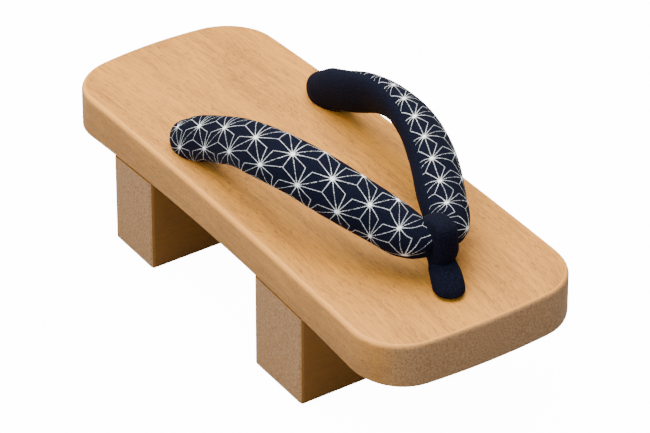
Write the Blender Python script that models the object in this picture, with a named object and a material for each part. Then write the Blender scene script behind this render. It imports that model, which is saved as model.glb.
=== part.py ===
"""Wooden geta sandal: an arched board on two cross teeth, a padded V strap,
a toe loop that holds the V, and the tied cord ends beneath the board.

Metres, +Z up, +X towards the toe. The origin is on the floor under the
middle of the board. The two sides are alike about y = 0, but for the toe
hole, which lies a little to one side, and the foot of the loop over it.
"""
from collections import namedtuple
from math import atan2, cos, pi, radians, sin, sqrt

import bmesh
import bpy
import numpy as np

# The board, which is a shallow arch seen from the side. Its two widths lie
# between the straight sides, carried on past the corners to the very ends.
BOARD_LENGTH = 0.2400
TOE_WIDTH = 0.0975
HEEL_WIDTH = 0.0874
TOE_CROWN = 0.0035
HEEL_CROWN = 0.0060
TOE_CORNER_RADIUS = 0.0220
HEEL_CORNER_RADIUS = 0.0240
END_UNDERSIDE_HEIGHT = 0.0362
END_THICKNESS = 0.0194
TOP_ARCH = 0.0031
UNDERSIDE_ARCH = 0.0064
SIDE_EDGE_RADIUS = 0.0026
END_EDGE_RADIUS = 0.0022
LOWER_EDGE_BEVEL = 0.0008

# The two teeth, as wide as the board above them
HEEL_TO_REAR_TOOTH = 0.0430
REAR_TOOTH_THICKNESS = 0.0288
TOE_TO_FRONT_TOOTH = 0.0575
FRONT_TOOTH_THICKNESS = 0.0339
TOOTH_CORNER_RADIUS = 0.0014
TOOTH_FOOT_BEVEL = 0.0010

# The holes for the cords, each with a recess beneath for its knot
HEEL_TO_REAR_HOLES = 0.0814
REAR_HOLE_SPACING = 0.0666
TOE_TO_TOE_HOLE = 0.0227
TOE_HOLE_OFFSET = -0.0035
HOLE_DIAMETER = 0.0080
RECESS_DIAMETER = 0.0150
RECESS_DEPTH = 0.0075
KNOT_HEIGHT = 0.0068
KNOT_CLEARANCE = 0.0007

# The padded strap, measured where it is fullest
STRAP_WIDTH = 0.0220
STRAP_THICKNESS = 0.0140
STRAP_RISE = 0.0272
STRAP_END_ROUNDING = 0.0120

# The toe loop, which leans back from its hole to the point of the V
LOOP_LEAN = 0.0118
LOOP_BAND_THICKNESS = 0.0027
POST_DIAMETER = 0.0120

# How far the round core of the V reaches to each side inside the band
CORE_REACH = 0.0048

# The clearance between pieces that touch
GAP = 0.0003

# The strap from its rear end to the point of the V.
# along: share of the way from the rear hole to the point of the V
# spread: share of half the rear hole spacing, from the middle line
# rise: height of its centre line over the board, share of STRAP_RISE
# width, thickness: shares of STRAP_WIDTH and STRAP_THICKNESS
# tilt: how far the outer face looks up from level, in degrees
StrapRow = namedtuple("StrapRow", "along spread rise width thickness tilt")
STRAP_ROWS = [
    StrapRow(-0.088, 0.980, 0.055, 0.78, 0.88, 6),
    StrapRow(0.000, 0.980, 0.165, 0.80, 0.95, 9),
    StrapRow(0.070, 0.960, 0.360, 0.84, 0.94, 13),
    StrapRow(0.165, 0.943, 0.555, 0.87, 0.88, 19),
    StrapRow(0.280, 0.955, 0.795, 0.89, 0.87, 27),
    StrapRow(0.420, 0.931, 0.952, 0.96, 0.96, 34),
    StrapRow(0.578, 0.823, 1.000, 0.99, 1.12, 42),
    StrapRow(0.735, 0.630, 0.886, 0.99, 1.26, 45),
    StrapRow(0.860, 0.410, 0.721, 0.93, 1.28, 46),
    StrapRow(0.935, 0.285, 0.625, 0.86, 1.18, 50),
    StrapRow(0.968, 0.212, 0.596, 0.74, 1.06, 58),
    StrapRow(0.990, 0.120, 0.590, 0.56, 0.92, 73),
    StrapRow(1.000, 0.060, 0.600, 0.46, 0.88, 80),
]

# How finely the strap is divided. Its rings stand closer together towards
# the point of the V by the power CROWDING.
STRAP_STEPS = 42
STRAP_SIDES = 20
CROWDING = 1.5
END_STEPS = 6
TIP_STEP = 0.6

# The toe loop from the board up.
# height: share of the loop's full height over the board
# lean: share of LOOP_LEAN, backwards from the toe hole
# depth: front to back, share of the loop's full depth
# width: side to side, share of POST_DIAMETER
LoopRow = namedtuple("LoopRow", "height lean depth width")
LOOP_ROWS = [
    LoopRow(0.015, -0.02, 0.58, 0.78),
    LoopRow(0.045, -0.02, 0.76, 0.97),
    LoopRow(0.110, 0.03, 0.82, 1.03),
    LoopRow(0.190, 0.18, 0.81, 1.02),
    LoopRow(0.265, 0.38, 0.76, 0.98),
    LoopRow(0.335, 0.60, 0.62, 0.90),
    LoopRow(0.375, 0.75, 0.60, 0.86),
    LoopRow(0.430, 0.87, 0.80, 0.92),
    LoopRow(0.520, 0.97, 0.98, 0.97),
    LoopRow(0.640, 1.00, 1.02, 0.96),
    LoopRow(0.780, 1.00, 1.00, 0.93),
    LoopRow(0.890, 1.00, 0.93, 0.86),
    LoopRow(0.955, 1.00, 0.76, 0.77),
    LoopRow(1.000, 1.00, 0.46, 0.66),
]
LOOP_SIDES = 24
# The power of the band's section, from 1 for an oval towards 0 for a square
LOOP_ROUNDNESS = 0.62
# How far each arm may pass the middle line, so that both join
SEAM_OVERLAP = 0.0004

# A knot from its foot up.
# radius: share of the knot's radius; height: share of KNOT_HEIGHT
KnotRow = namedtuple("KnotRow", "radius height")
KNOT_ROWS = [
    KnotRow(0.55, 0.00),
    KnotRow(0.88, 0.14),
    KnotRow(1.00, 0.42),
    KnotRow(0.95, 0.75),
    KnotRow(0.72, 1.00),
]

# How finely the board, teeth and holes are divided
CROWN_STEPS = 4
CORNER_STEPS = 6
SIDE_STEPS = 22
EDGE_STEPS = 3
TOOTH_STEPS = 5
TURNED_SIDES = 20
SHARP_ANGLE = 35

# Places worked out from the sizes above
HALF_LENGTH = BOARD_LENGTH / 2
REAR_HOLE_X = -HALF_LENGTH + HEEL_TO_REAR_HOLES
REAR_HOLE_Y = REAR_HOLE_SPACING / 2
TOE_HOLE_X = HALF_LENGTH - TOE_TO_TOE_HOLE
V_POINT_X = TOE_HOLE_X - LOOP_LEAN


def clear_scene():
    for old in list(bpy.data.objects):
        bpy.data.objects.remove(old, do_unlink=True)


def make_material(name, colour, roughness):
    material = bpy.data.materials.new(name)
    material.use_nodes = True
    shader = material.node_tree.nodes["Principled BSDF"]
    shader.inputs["Base Color"].default_value = (*colour, 1.0)
    shader.inputs["Roughness"].default_value = roughness
    shader.inputs["Metallic"].default_value = 0.0
    return material


def make_object(name, vertices, faces, material=None):
    mesh = bpy.data.meshes.new(name)
    mesh.from_pydata([tuple(v) for v in vertices], [], faces)
    work = bmesh.new()
    work.from_mesh(mesh)
    bmesh.ops.recalc_face_normals(work, faces=work.faces)
    work.to_mesh(mesh)
    work.free()
    mesh.shade_smooth()
    mesh.set_sharp_from_angle(angle=radians(SHARP_ANGLE))
    piece = bpy.data.objects.new(name, mesh)
    bpy.context.scene.collection.objects.link(piece)
    if material:
        mesh.materials.append(material)
    return piece


def make_cutter(name, vertices, faces):
    cutter = make_object(name, vertices, faces)
    cutter.hide_render = True
    cutter.display_type = "WIRE"
    return cutter


def combine(piece, cutter, operation="DIFFERENCE"):
    boolean = piece.modifiers.new(operation.lower() + " " + cutter.name, "BOOLEAN")
    boolean.operation = operation
    boolean.solver = "EXACT"
    boolean.object = cutter


def skin(rings):
    """Faces of a closed body whose rings all have the same number of points."""
    sides = len(rings[0])
    vertices = [point for ring in rings for point in ring]
    faces = []
    for level in range(len(rings) - 1):
        here = level * sides
        above = here + sides
        for k in range(sides):
            after = (k + 1) % sides
            faces.append((here + k, here + after, above + after, above + k))
    return vertices, faces


def closed_ends(rings):
    vertices, faces = skin(rings)
    sides = len(rings[0])
    last = len(vertices) - sides
    faces.append(tuple(reversed(range(sides))))
    faces.append(tuple(range(last, last + sides)))
    return vertices, faces


def underside(x):
    return END_UNDERSIDE_HEIGHT + UNDERSIDE_ARCH * (1 - (x / HALF_LENGTH) ** 2)


def deck(x):
    top_at_end = END_UNDERSIDE_HEIGHT + END_THICKNESS
    return top_at_end + TOP_ARCH * (1 - (x / HALF_LENGTH) ** 2)


def half_width(x):
    share = x / BOARD_LENGTH + 0.5
    return (HEEL_WIDTH + (TOE_WIDTH - HEEL_WIDTH) * share) / 2


def arc(centre, radius, start, end, shares):
    return [
        (
            centre[0] + radius * cos(start + (end - start) * t),
            centre[1] + radius * sin(start + (end - start) * t),
        )
        for t in shares
    ]


def crowned_end(way, crown, corner):
    """Half the outline of one end, from the middle line to the straight side.

    way is 1 at the toe and -1 at the heel.
    """
    chord = half_width(way * HALF_LENGTH)
    radius = (chord**2 + crown**2) / (2 * crown)
    crown_centre = np.array([way * (HALF_LENGTH - radius), 0.0])
    side = np.array([BOARD_LENGTH, (TOE_WIDTH - HEEL_WIDTH) / 2])
    side /= np.linalg.norm(side)
    inward = np.array([side[1], -side[0]])
    offset = np.array([0.0, half_width(0)]) + corner * inward - crown_centre
    along = offset @ side
    reach = sqrt(along**2 - offset @ offset + (radius - corner) ** 2)
    corner_centre = crown_centre + offset + (way * reach - along) * side
    towards = corner_centre - crown_centre
    meet = atan2(towards[1], towards[0])
    middle = 0.0 if way > 0 else pi
    flank = atan2(-inward[1], -inward[0])
    crown_shares = [(k + 0.5) / CROWN_STEPS for k in range(CROWN_STEPS)]
    corner_shares = [k / CORNER_STEPS for k in range(CORNER_STEPS + 1)]
    points = arc(crown_centre, radius, middle, meet, crown_shares)
    points += arc(corner_centre, corner, meet, flank, corner_shares)
    return points


def board_outline():
    toe = crowned_end(1, TOE_CROWN, TOE_CORNER_RADIUS)
    heel = crowned_end(-1, HEEL_CROWN, HEEL_CORNER_RADIUS)
    first, last = heel[-1][0], toe[-1][0]
    sides = []
    for k in range(1, SIDE_STEPS):
        x = first + (last - first) * k / SIDE_STEPS
        sides.append((x, half_width(x)))
    return heel + sides + toe[::-1]


def tooth_outline(rear, front):
    radius = TOOTH_CORNER_RADIUS
    shares = [0, 0.5, 1]
    rear_centre = (rear + radius, half_width(rear) - radius)
    front_centre = (front - radius, half_width(front) - radius)
    points = arc(rear_centre, radius, pi, pi / 2, shares)
    for k in range(1, TOOTH_STEPS):
        x = rear + radius + (front - rear - 2 * radius) * k / TOOTH_STEPS
        points.append((x, half_width(x)))
    return points + arc(front_centre, radius, pi / 2, 0, shares)


def slab(outline, levels):
    """A closed body from half an outline, mirrored over y = 0.

    Each level gives how far its ring lies inside the outline and how high
    it is, from the outward direction and the place along the board.
    """
    points = np.array(outline)
    mirrored = points * [1, -1]
    before = np.vstack([mirrored[:1], points[:-1]])
    after = np.vstack([points[1:], mirrored[-1:]])
    along = after - before
    along /= np.linalg.norm(along, axis=1)[:, None]
    outward = np.column_stack([-along[:, 1], along[:, 0]])
    rings = []
    for inset, height in levels:
        left = []
        for point, normal in zip(points, outward):
            x, y = point - normal * inset(normal)
            left.append((x, y, height(x, normal)))
        right = [(x, -y, z) for x, y, z in reversed(left)]
        rings.append(left + right)
    vertices, faces = skin(rings)
    count = len(points)
    ring_size = 2 * count
    for start in (0, ring_size * (len(rings) - 1)):
        for k in range(count - 1):
            faces.append(
                (
                    start + k,
                    start + k + 1,
                    start + ring_size - 2 - k,
                    start + ring_size - 1 - k,
                )
            )
    return vertices, faces


def edge_radius(normal):
    return SIDE_EDGE_RADIUS * normal[1] ** 2 + END_EDGE_RADIUS * normal[0] ** 2


def board_levels():
    levels = [
        (lambda n: LOWER_EDGE_BEVEL, lambda x, n: underside(x)),
        (lambda n: 0.0, lambda x, n: underside(x) + LOWER_EDGE_BEVEL),
    ]
    for k in range(EDGE_STEPS + 1):
        turn = pi / 2 * k / EDGE_STEPS
        levels.append(
            (
                lambda n, turn=turn: edge_radius(n) * (1 - cos(turn)),
                lambda x, n, turn=turn: deck(x) - edge_radius(n) * (1 - sin(turn)),
            )
        )
    return levels


def turned(profile, x, y):
    """A closed round body on a vertical axis, from (radius, height) pairs."""
    rings = []
    for radius, height in profile:
        ring = []
        for k in range(TURNED_SIDES):
            turn = 2 * pi * k / TURNED_SIDES
            ring.append((x + radius * cos(turn), y + radius * sin(turn), height))
        rings.append(ring)
    return closed_ends(rings)


def hole_places():
    return {
        "toe": (TOE_HOLE_X, TOE_HOLE_OFFSET),
        "left": (REAR_HOLE_X, REAR_HOLE_Y),
        "right": (REAR_HOLE_X, -REAR_HOLE_Y),
    }


def recess_ceiling(x):
    return underside(x) + RECESS_DEPTH


def make_board(material):
    board = make_object("board", *slab(board_outline(), board_levels()), material)
    for name, (x, y) in hole_places().items():
        reach = END_THICKNESS
        profile = [
            (RECESS_DIAMETER / 2, underside(x) - reach),
            (RECESS_DIAMETER / 2, recess_ceiling(x)),
            (HOLE_DIAMETER / 2, recess_ceiling(x)),
            (HOLE_DIAMETER / 2, deck(x) + reach),
        ]
        combine(board, make_cutter("drill_" + name, *turned(profile, x, y)))


def make_tooth(name, rear, thickness, material):
    levels = [
        (lambda n: TOOTH_FOOT_BEVEL, lambda x, n: 0.0),
        (lambda n: 0.0, lambda x, n: TOOTH_FOOT_BEVEL),
        (lambda n: 0.0, lambda x, n: underside(x) - GAP),
    ]
    make_object(name, *slab(tooth_outline(rear, rear + thickness), levels), material)


def smooth_rows(rows, steps):
    """Rows read from a smooth curve through the given rows, and its direction."""
    steps = np.asarray(steps)
    run = np.linalg.norm(np.diff(rows[:, :3], axis=0), axis=1)
    chord = np.concatenate([[0.0], np.cumsum(run)])
    slope = np.gradient(rows, chord, axis=0)
    place = steps * chord[-1]
    k = np.clip(np.searchsorted(chord, place, side="right") - 1, 0, len(chord) - 2)
    length = (chord[k + 1] - chord[k])[:, None]
    u = (place - chord[k])[:, None] / length
    start, end = rows[k], rows[k + 1]
    start_slope, end_slope = slope[k] * length, slope[k + 1] * length
    values = (
        (2 * u**3 - 3 * u**2 + 1) * start
        + (u**3 - 2 * u**2 + u) * start_slope
        + (3 * u**2 - 2 * u**3) * end
        + (u**3 - u**2) * end_slope
    )
    direction = (
        (6 * u**2 - 6 * u) * start
        + (3 * u**2 - 4 * u + 1) * start_slope
        + (6 * u - 6 * u**2) * end
        + (3 * u**2 - 2 * u) * end_slope
    )[:, :3]
    return values, direction / np.linalg.norm(direction, axis=1)[:, None]


def strap_guide():
    """Rows of x, y, z, half width, half thickness and tilt for the right side."""
    reach = V_POINT_X - REAR_HOLE_X
    rows = []
    for row in STRAP_ROWS:
        x = REAR_HOLE_X + reach * row.along
        rows.append(
            (
                x,
                -REAR_HOLE_Y * row.spread,
                deck(x) + STRAP_RISE * row.rise,
                STRAP_WIDTH / 2 * row.width,
                STRAP_THICKNESS / 2 * row.thickness,
                row.tilt,
            )
        )
    return np.array(rows)


def strap_rings():
    """Rings of the right half, from its rear end to the point of the V."""
    rows = strap_guide()
    length = np.linalg.norm(np.diff(rows[:, :3], axis=0), axis=1).sum()
    end_share = STRAP_END_ROUNDING / length
    turns = [pi / 2 * (k + TIP_STEP) / END_STEPS for k in range(END_STEPS)]
    steps = [end_share * (1 - cos(turn)) for turn in turns]
    rest = 1 - (1 - end_share) * np.linspace(1, 0, STRAP_STEPS) ** CROWDING
    values, direction = smooth_rows(rows, np.concatenate([steps, rest]))
    scale = np.concatenate([np.sin(turns), np.ones(STRAP_STEPS)])
    rings = []
    for row, along, size in zip(values, direction, scale):
        tilt = radians(row[5])
        face = np.array([0.0, -cos(tilt), sin(tilt)])
        face -= along * (face @ along)
        face /= np.linalg.norm(face)
        edge = np.cross(along, face)
        ring = []
        for k in range(STRAP_SIDES):
            turn = 2 * pi * k / STRAP_SIDES
            point = row[:3] + edge * row[3] * size * cos(turn)
            point = point + face * row[4] * size * sin(turn)
            x, y = point[0], min(point[1], SEAM_OVERLAP)
            ring.append((x, y, max(point[2], deck(x) + GAP)))
        rings.append(ring)
    return rings


def strap_half(side):
    """One half of the V, which ends inside the loop.

    side is -1 for the right half and 1 for the left half.
    """
    rings = [[(x, -side * y, z) for x, y, z in ring] for ring in strap_rings()]
    return closed_ends(rings)


def throat(grow, reach):
    """The round way of the V through the loop, along y on both sides of 0."""
    point = STRAP_ROWS[-1]
    middle = deck(V_POINT_X) + STRAP_RISE * point.rise
    half_depth = STRAP_WIDTH / 2 * point.width + grow
    half_height = STRAP_THICKNESS / 2 * point.thickness + grow
    rings = []
    for y in (-reach, reach):
        ring = []
        for k in range(LOOP_SIDES):
            turn = 2 * pi * (k + 0.5) / LOOP_SIDES
            x = V_POINT_X + half_depth * cos(turn)
            ring.append((x, y, middle + half_height * sin(turn)))
        rings.append(ring)
    return closed_ends(rings)


def loop_body(grow):
    """The outside of the toe loop, without the way through it."""
    base = deck(TOE_HOLE_X)
    point = STRAP_ROWS[-1]
    wall = GAP + LOOP_BAND_THICKNESS
    depth = STRAP_WIDTH * point.width + 2 * wall
    height = STRAP_RISE * point.rise + STRAP_THICKNESS / 2 * point.thickness + wall
    rings = []
    for row in LOOP_ROWS:
        x = TOE_HOLE_X - LOOP_LEAN * row.lean
        y = TOE_HOLE_OFFSET * (1 - row.lean)
        z = base + height * row.height
        power = 1 + (LOOP_ROUNDNESS - 1) * min(max(row.lean, 0), 1)
        half_depth = depth * row.depth / 2 + grow
        half_breadth = POST_DIAMETER * row.width / 2 + grow
        ring = []
        for k in range(LOOP_SIDES):
            turn = 2 * pi * k / LOOP_SIDES
            across = np.sign(cos(turn)) * abs(cos(turn)) ** power
            aside = np.sign(sin(turn)) * abs(sin(turn)) ** power
            ring.append((x + half_depth * across, y + half_breadth * aside, z))
        rings.append(ring)
    rings[-1] = [(x, y, z + grow) for x, y, z in rings[-1]]
    return closed_ends(rings)


def make_strap(material):
    strap = make_object("strap", *strap_half(-1), material)
    combine(strap, make_cutter("left_half", *strap_half(1)), "UNION")
    core = make_cutter("core", *throat(GAP / 2, CORE_REACH))
    combine(strap, core, "UNION")
    clearance = make_cutter("loop_clearance", *loop_body(GAP))
    combine(clearance, make_cutter("kept_core", *throat(0.0, POST_DIAMETER)))
    combine(strap, clearance)


def make_toe_loop(material):
    loop = make_object("toe_loop", *loop_body(0.0), material)
    combine(loop, make_cutter("way_through", *throat(GAP, POST_DIAMETER)))


def make_tie(name, x, y, foot, material):
    """The cord that comes out of the strap or loop, and its knot in the recess."""
    neck = HOLE_DIAMETER / 2 - GAP
    knot = RECESS_DIAMETER / 2 - KNOT_CLEARANCE
    top = recess_ceiling(x) - GAP
    bottom = top - KNOT_HEIGHT
    profile = [
        (knot * row.radius, bottom + KNOT_HEIGHT * row.height) for row in KNOT_ROWS
    ]
    profile += [(neck, top), (neck, foot - GAP)]
    make_object(name, *turned(profile, x, y), material)


def build():
    clear_scene()
    wood = make_material("wood_board", (0.62, 0.42, 0.24), 0.55)
    tooth_wood = make_material("wood_tooth", (0.50, 0.33, 0.19), 0.65)
    cloth = make_material("cloth_patterned", (0.03, 0.04, 0.08), 0.85)
    plain = make_material("cloth_plain", (0.01, 0.015, 0.035), 0.8)
    cord = make_material("cord", (0.55, 0.48, 0.38), 0.85)

    make_board(wood)
    rear = -HALF_LENGTH + HEEL_TO_REAR_TOOTH
    make_tooth("rear_tooth", rear, REAR_TOOTH_THICKNESS, tooth_wood)
    front = HALF_LENGTH - TOE_TO_FRONT_TOOTH - FRONT_TOOTH_THICKNESS
    make_tooth("front_tooth", front, FRONT_TOOTH_THICKNESS, tooth_wood)
    make_strap(cloth)
    make_toe_loop(plain)
    for name, (x, y) in hole_places().items():
        make_tie("tie_" + name, x, y, deck(x), cord)


build()
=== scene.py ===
"""The looks of a wooden geta sandal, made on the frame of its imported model.

It is laid out as an add-on: each piece of the sandal has an operator, and
their sizes and colours are in the sidebar. Run as a script it makes them all.
"""
from collections import namedtuple
from math import atan2, cos, exp, pi, radians, sin, sqrt

import bmesh
import bpy
import numpy as np
from bpy.props import FloatProperty, FloatVectorProperty, IntProperty, PointerProperty
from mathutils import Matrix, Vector


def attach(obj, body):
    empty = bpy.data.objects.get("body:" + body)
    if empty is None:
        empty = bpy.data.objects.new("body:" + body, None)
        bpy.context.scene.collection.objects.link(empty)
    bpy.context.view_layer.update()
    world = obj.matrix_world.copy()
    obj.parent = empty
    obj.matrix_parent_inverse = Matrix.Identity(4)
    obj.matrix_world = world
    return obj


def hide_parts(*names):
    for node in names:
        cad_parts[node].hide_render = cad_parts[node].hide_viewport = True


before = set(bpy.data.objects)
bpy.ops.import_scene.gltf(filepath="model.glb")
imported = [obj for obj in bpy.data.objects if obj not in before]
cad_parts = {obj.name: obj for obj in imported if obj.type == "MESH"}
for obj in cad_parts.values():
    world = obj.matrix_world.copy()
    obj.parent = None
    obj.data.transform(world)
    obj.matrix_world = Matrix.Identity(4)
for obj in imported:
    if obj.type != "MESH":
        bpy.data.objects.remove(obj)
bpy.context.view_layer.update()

bl_info = {
    "name": "Wooden geta sandal",
    "version": (1, 0, 0),
    "blender": (4, 5, 0),
    "location": "3D View > Sidebar > Geta",
    "description": "Makes the board, teeth, strap, toe loop and knots of a geta sandal",
    "category": "Add Mesh",
}

BODY = "root"
GAP = 0.0003

# The scene is in metres, the cloth maps in centimetres and the print in
# millimetres
CM_PER_METRE = 100.0
MM_PER_METRE = 1000.0
MM_PER_CM = 10.0

# The board's shape beyond its main sizes
TOE_CROWN = 0.0035
HEEL_CROWN = 0.0060
TOE_CORNER_RADIUS = 0.0220
HEEL_CORNER_RADIUS = 0.0240
END_UNDERSIDE_HEIGHT = 0.0362
TOP_ARCH = 0.0031
UNDERSIDE_ARCH = 0.0064
END_EDGE_RADIUS = 0.0022
HEEL_TO_REAR_HOLES = 0.0814
REAR_HOLE_SPACING = 0.0666
TOE_TO_TOE_HOLE = 0.0227
TOE_HOLE_OFFSET = -0.0035
HOLE_DIAMETER = 0.0080
RECESS_DIAMETER = 0.0150
RECESS_DEPTH = 0.0075
DRILL_REACH = 0.0200

# Edges sharper than this stay sharp, in degrees
WOOD_SHARP = 35
SOFT_SHARP = 60

# How finely the board is divided
CROWN_STEPS = 8
CORNER_STEPS = 12
SIDE_STEPS = 40
LOWER_EDGE_STEPS = 3
UPPER_EDGE_STEPS = 7
BOARD_COLUMNS = 18
HOLE_SIDES = 48

# Where each tooth's wood is cut from the grain, away from the board's
TOOTH_WOOD = {"rear_tooth": (0.31, 0.2, 0.1), "front_tooth": (0.77, 0.2, 0.1)}

# The strap from its rear end to the point of the V.
# along: share of the way from the rear hole to the point of the V
# spread: share of half the rear hole spacing, from the middle line
# rise: height of its centre line over the board, share of the strap's rise
# width, thickness: shares of the strap's width and thickness
# tilt: how far the outer face looks up from level, in degrees
StrapRow = namedtuple("StrapRow", "along spread rise width thickness tilt")
STRAP_ROWS = [
    StrapRow(-0.088, 0.980, 0.055, 0.78, 0.88, 6),
    StrapRow(0.000, 0.980, 0.165, 0.80, 0.95, 9),
    StrapRow(0.070, 0.960, 0.360, 0.84, 0.94, 13),
    StrapRow(0.165, 0.943, 0.555, 0.87, 0.88, 19),
    StrapRow(0.280, 0.955, 0.795, 0.89, 0.87, 27),
    StrapRow(0.420, 0.931, 0.952, 0.96, 0.96, 34),
    StrapRow(0.578, 0.823, 1.000, 0.99, 1.12, 42),
    StrapRow(0.735, 0.630, 0.886, 0.99, 1.26, 45),
    StrapRow(0.860, 0.410, 0.721, 0.93, 1.28, 46),
    StrapRow(0.935, 0.285, 0.625, 0.86, 1.18, 50),
    StrapRow(0.968, 0.212, 0.596, 0.74, 1.06, 58),
    StrapRow(0.990, 0.120, 0.590, 0.56, 0.92, 73),
    StrapRow(1.000, 0.060, 0.600, 0.46, 0.88, 80),
]
STRAP_END_ROUNDING = 0.0120
STRAP_END_RINGS = 14
# Each arm stays this far on its own side of the middle line
ARM_TO_MIDDLE = 0.00005
# How deep the cloth is drawn in at a seam, and at the next point from it
SEAM_TUCKS = (0.00035, 0.00012)
# The padding's soft swell: its amount as a share of the arm's size, and how
# fast it changes along the arm, in radians for each metre
SWELL_SHARE = 0.006
SWELL_FAST = 190
SWELL_SLOW = 70
SWELL_SLOW_SHIFT = 1.3
SWELL_DRIFT = 60

# The toe loop from the board up.
# height: share of the loop's full height over the board
# lean: share of its lean, backwards from the toe hole
# depth: front to back, share of the loop's full depth
# width: side to side, share of the post's diameter
LoopRow = namedtuple("LoopRow", "height lean depth width")
LOOP_ROWS = [
    LoopRow(0.015, -0.02, 0.58, 0.78),
    LoopRow(0.045, -0.02, 0.76, 0.97),
    LoopRow(0.110, 0.03, 0.82, 1.03),
    LoopRow(0.190, 0.18, 0.81, 1.02),
    LoopRow(0.265, 0.38, 0.76, 0.98),
    LoopRow(0.335, 0.60, 0.62, 0.90),
    LoopRow(0.375, 0.75, 0.60, 0.86),
    LoopRow(0.430, 0.87, 0.80, 0.92),
    LoopRow(0.520, 0.97, 0.98, 0.97),
    LoopRow(0.640, 1.00, 1.02, 0.96),
    LoopRow(0.780, 1.00, 1.00, 0.93),
    LoopRow(0.890, 1.00, 0.93, 0.86),
    LoopRow(0.955, 1.00, 0.76, 0.77),
    LoopRow(1.000, 1.00, 0.46, 0.66),
]
LOOP_LEAN = 0.0118
LOOP_BAND_THICKNESS = 0.0027
# How square the band's section is, from 0 for round
BAND_SQUARENESS = 0.38
# The gathers: their height, their reach as a share of the loop's height,
# how many there are and their turn round the loop, and how deep they are on
# average and how much that swings, as shares of the crease's depth
CREASE_HEIGHT = 0.36
CREASE_REACH = 0.055
CREASE_FOLDS = 11
CREASE_TURN = 0.6
CREASE_MIDDLE = 0.6
CREASE_SWING = 0.4

# The knots: how far the cord's loops lie under the recess's ceiling and out
# from the hole's middle, and how far they swing in and out, up and down
KNOT_DROP = 0.0037
KNOT_OUT = 0.0030
KNOT_SWING = 0.0014
KNOT_STEPS = 96
CORD_SIDES = 14
# The neck of cord in each hole: its narrow end's size and the depths at
# which it begins and reaches its full size
NECK_NARROW = 0.8
NECK_START = 0.0030
NECK_FULL = 0.0010
NECK_SIDES = 24

# The printed pattern, in millimetres: stars in rows, each row half a space past
# the last, and the point in each of a cell's two triangles where its lines bend
STAR_SPACING = 16.8
ROW_SPACING = 9.7
FIRST_BEND = (0.415 * STAR_SPACING, 0.22 * ROW_SPACING)
SECOND_BEND = (0.0, ROW_SPACING * 2 / 3)

# How the printed cloth lies on each arm, in millimetres.
# run: distance from the arm's rear end
# x, y: the cloth's own place at the middle of the arm's outer face
# x_across, y_across: how far that place moves for each millimetre across
LayRow = namedtuple("LayRow", "run x y x_across y_across")
RIGHT_LAY = [
    LayRow(0, -22.5, 9.5, 0.92, 1.20),
    LayRow(30, 4.5, 6.0, 0.55, 1.14),
    LayRow(60, 29.0, 5.0, 0.30, 1.08),
    LayRow(90, 54.5, 4.0, 0.14, 1.02),
    LayRow(120, 82.5, 2.0, 0.08, 0.96),
    LayRow(150, 117.0, -2.5, 0.13, 0.90),
]
LEFT_LAY = [
    LayRow(*place, 0.98, -0.38)
    for place in ((0, -59.0, -49.5), (30, -27.0, -31.0), (60, 1.0, -10.5),
                  (90, 25.5, 13.0), (120, 46.5, 39.0), (150, 63.5, 68.0))
]

# The arms of the V.
# side: -1 for the right arm and 1 for the left
# bow: how far the print bows along the arm, for each square millimetre across
# twist: how far the seams turn at the arm's rear end, in radians
# twist_reach: the length over which that turn fades, in metres
Arm = namedtuple("Arm", "side lay bow twist twist_reach")
ARMS = (
    Arm(-1, RIGHT_LAY, 0.012, 0.55, 0.016),
    Arm(1, LEFT_LAY, 0.0, -0.90, 0.038),
)

# How uneven the print is: each pair is the most that a noise moves a line's
# edge, in millimetres, and what is added to that
LINE_WANDER = (0.36, -0.18)
LINE_FRAY = (0.55, -0.27)
LINE_BREAKS = (0.70, -0.31)
LINE_BEADS = (0.50, -0.25)
# How softly the ink ends, in millimetres
LINE_SOFTNESS = 0.11
STAR_SOFTNESS = 0.30
# The lines are wide near a star and narrow far from it: the two distances in
# millimetres, and the width at each as a share of the line width
TAPER_DISTANCES = (1.0, 5.0)
TAPER_SHARES = (0.75, 0.42)

# The weave: the space between threads in millimetres, and how much light the
# raised threads throw back beyond their dye
THREAD_PITCH = 0.42
THREAD_GLINT = 0.002
WEAVE_DEPTH = 0.00012

# How strongly the grain and the pores show against the light wood
GRAIN_SHARE = 0.75
PORE_SHARE = 0.9

# The camera's place, the way it looks, and the point the lights are aimed at
CAMERA_PLACE = (1.2906, -0.8697, 1.0777)
CAMERA_WAY = (-0.6879, 0.4667, -0.5565)
LIGHT_TARGET = Vector((0.0, 0.0, 0.05))

# The lamps: the way to each from its target, its distance and size in metres,
# and the settings that hold its power and its colour
Lamp = namedtuple("Lamp", "name way distance size power tint")
LAMPS = (
    Lamp("key_light", (-0.36, -0.06, 1.3), 1.5, 2.1, "key", "key_tint"),
    Lamp("fill_light", (0.45, -1.2, 0.9), 1.8, 1.2, "fill", "sky_tint"),
)

# The floor: half its side, and how far it lies under the teeth
FLOOR_REACH = 6.0
FLOOR_DROP = 0.0002


def metres(name, text, value):
    return FloatProperty(
        name=name, description=text, default=value, min=0.0, precision=5,
        subtype="DISTANCE", unit="LENGTH",
    )


def number(name, text, value, low, high, **more):
    return FloatProperty(
        name=name, description=text, default=value, min=low, max=high, **more
    )


def colour(name, text, value):
    return FloatVectorProperty(
        name=name, description=text, default=value, size=3, min=0.0, max=1.0,
        subtype="COLOR",
    )


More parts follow.
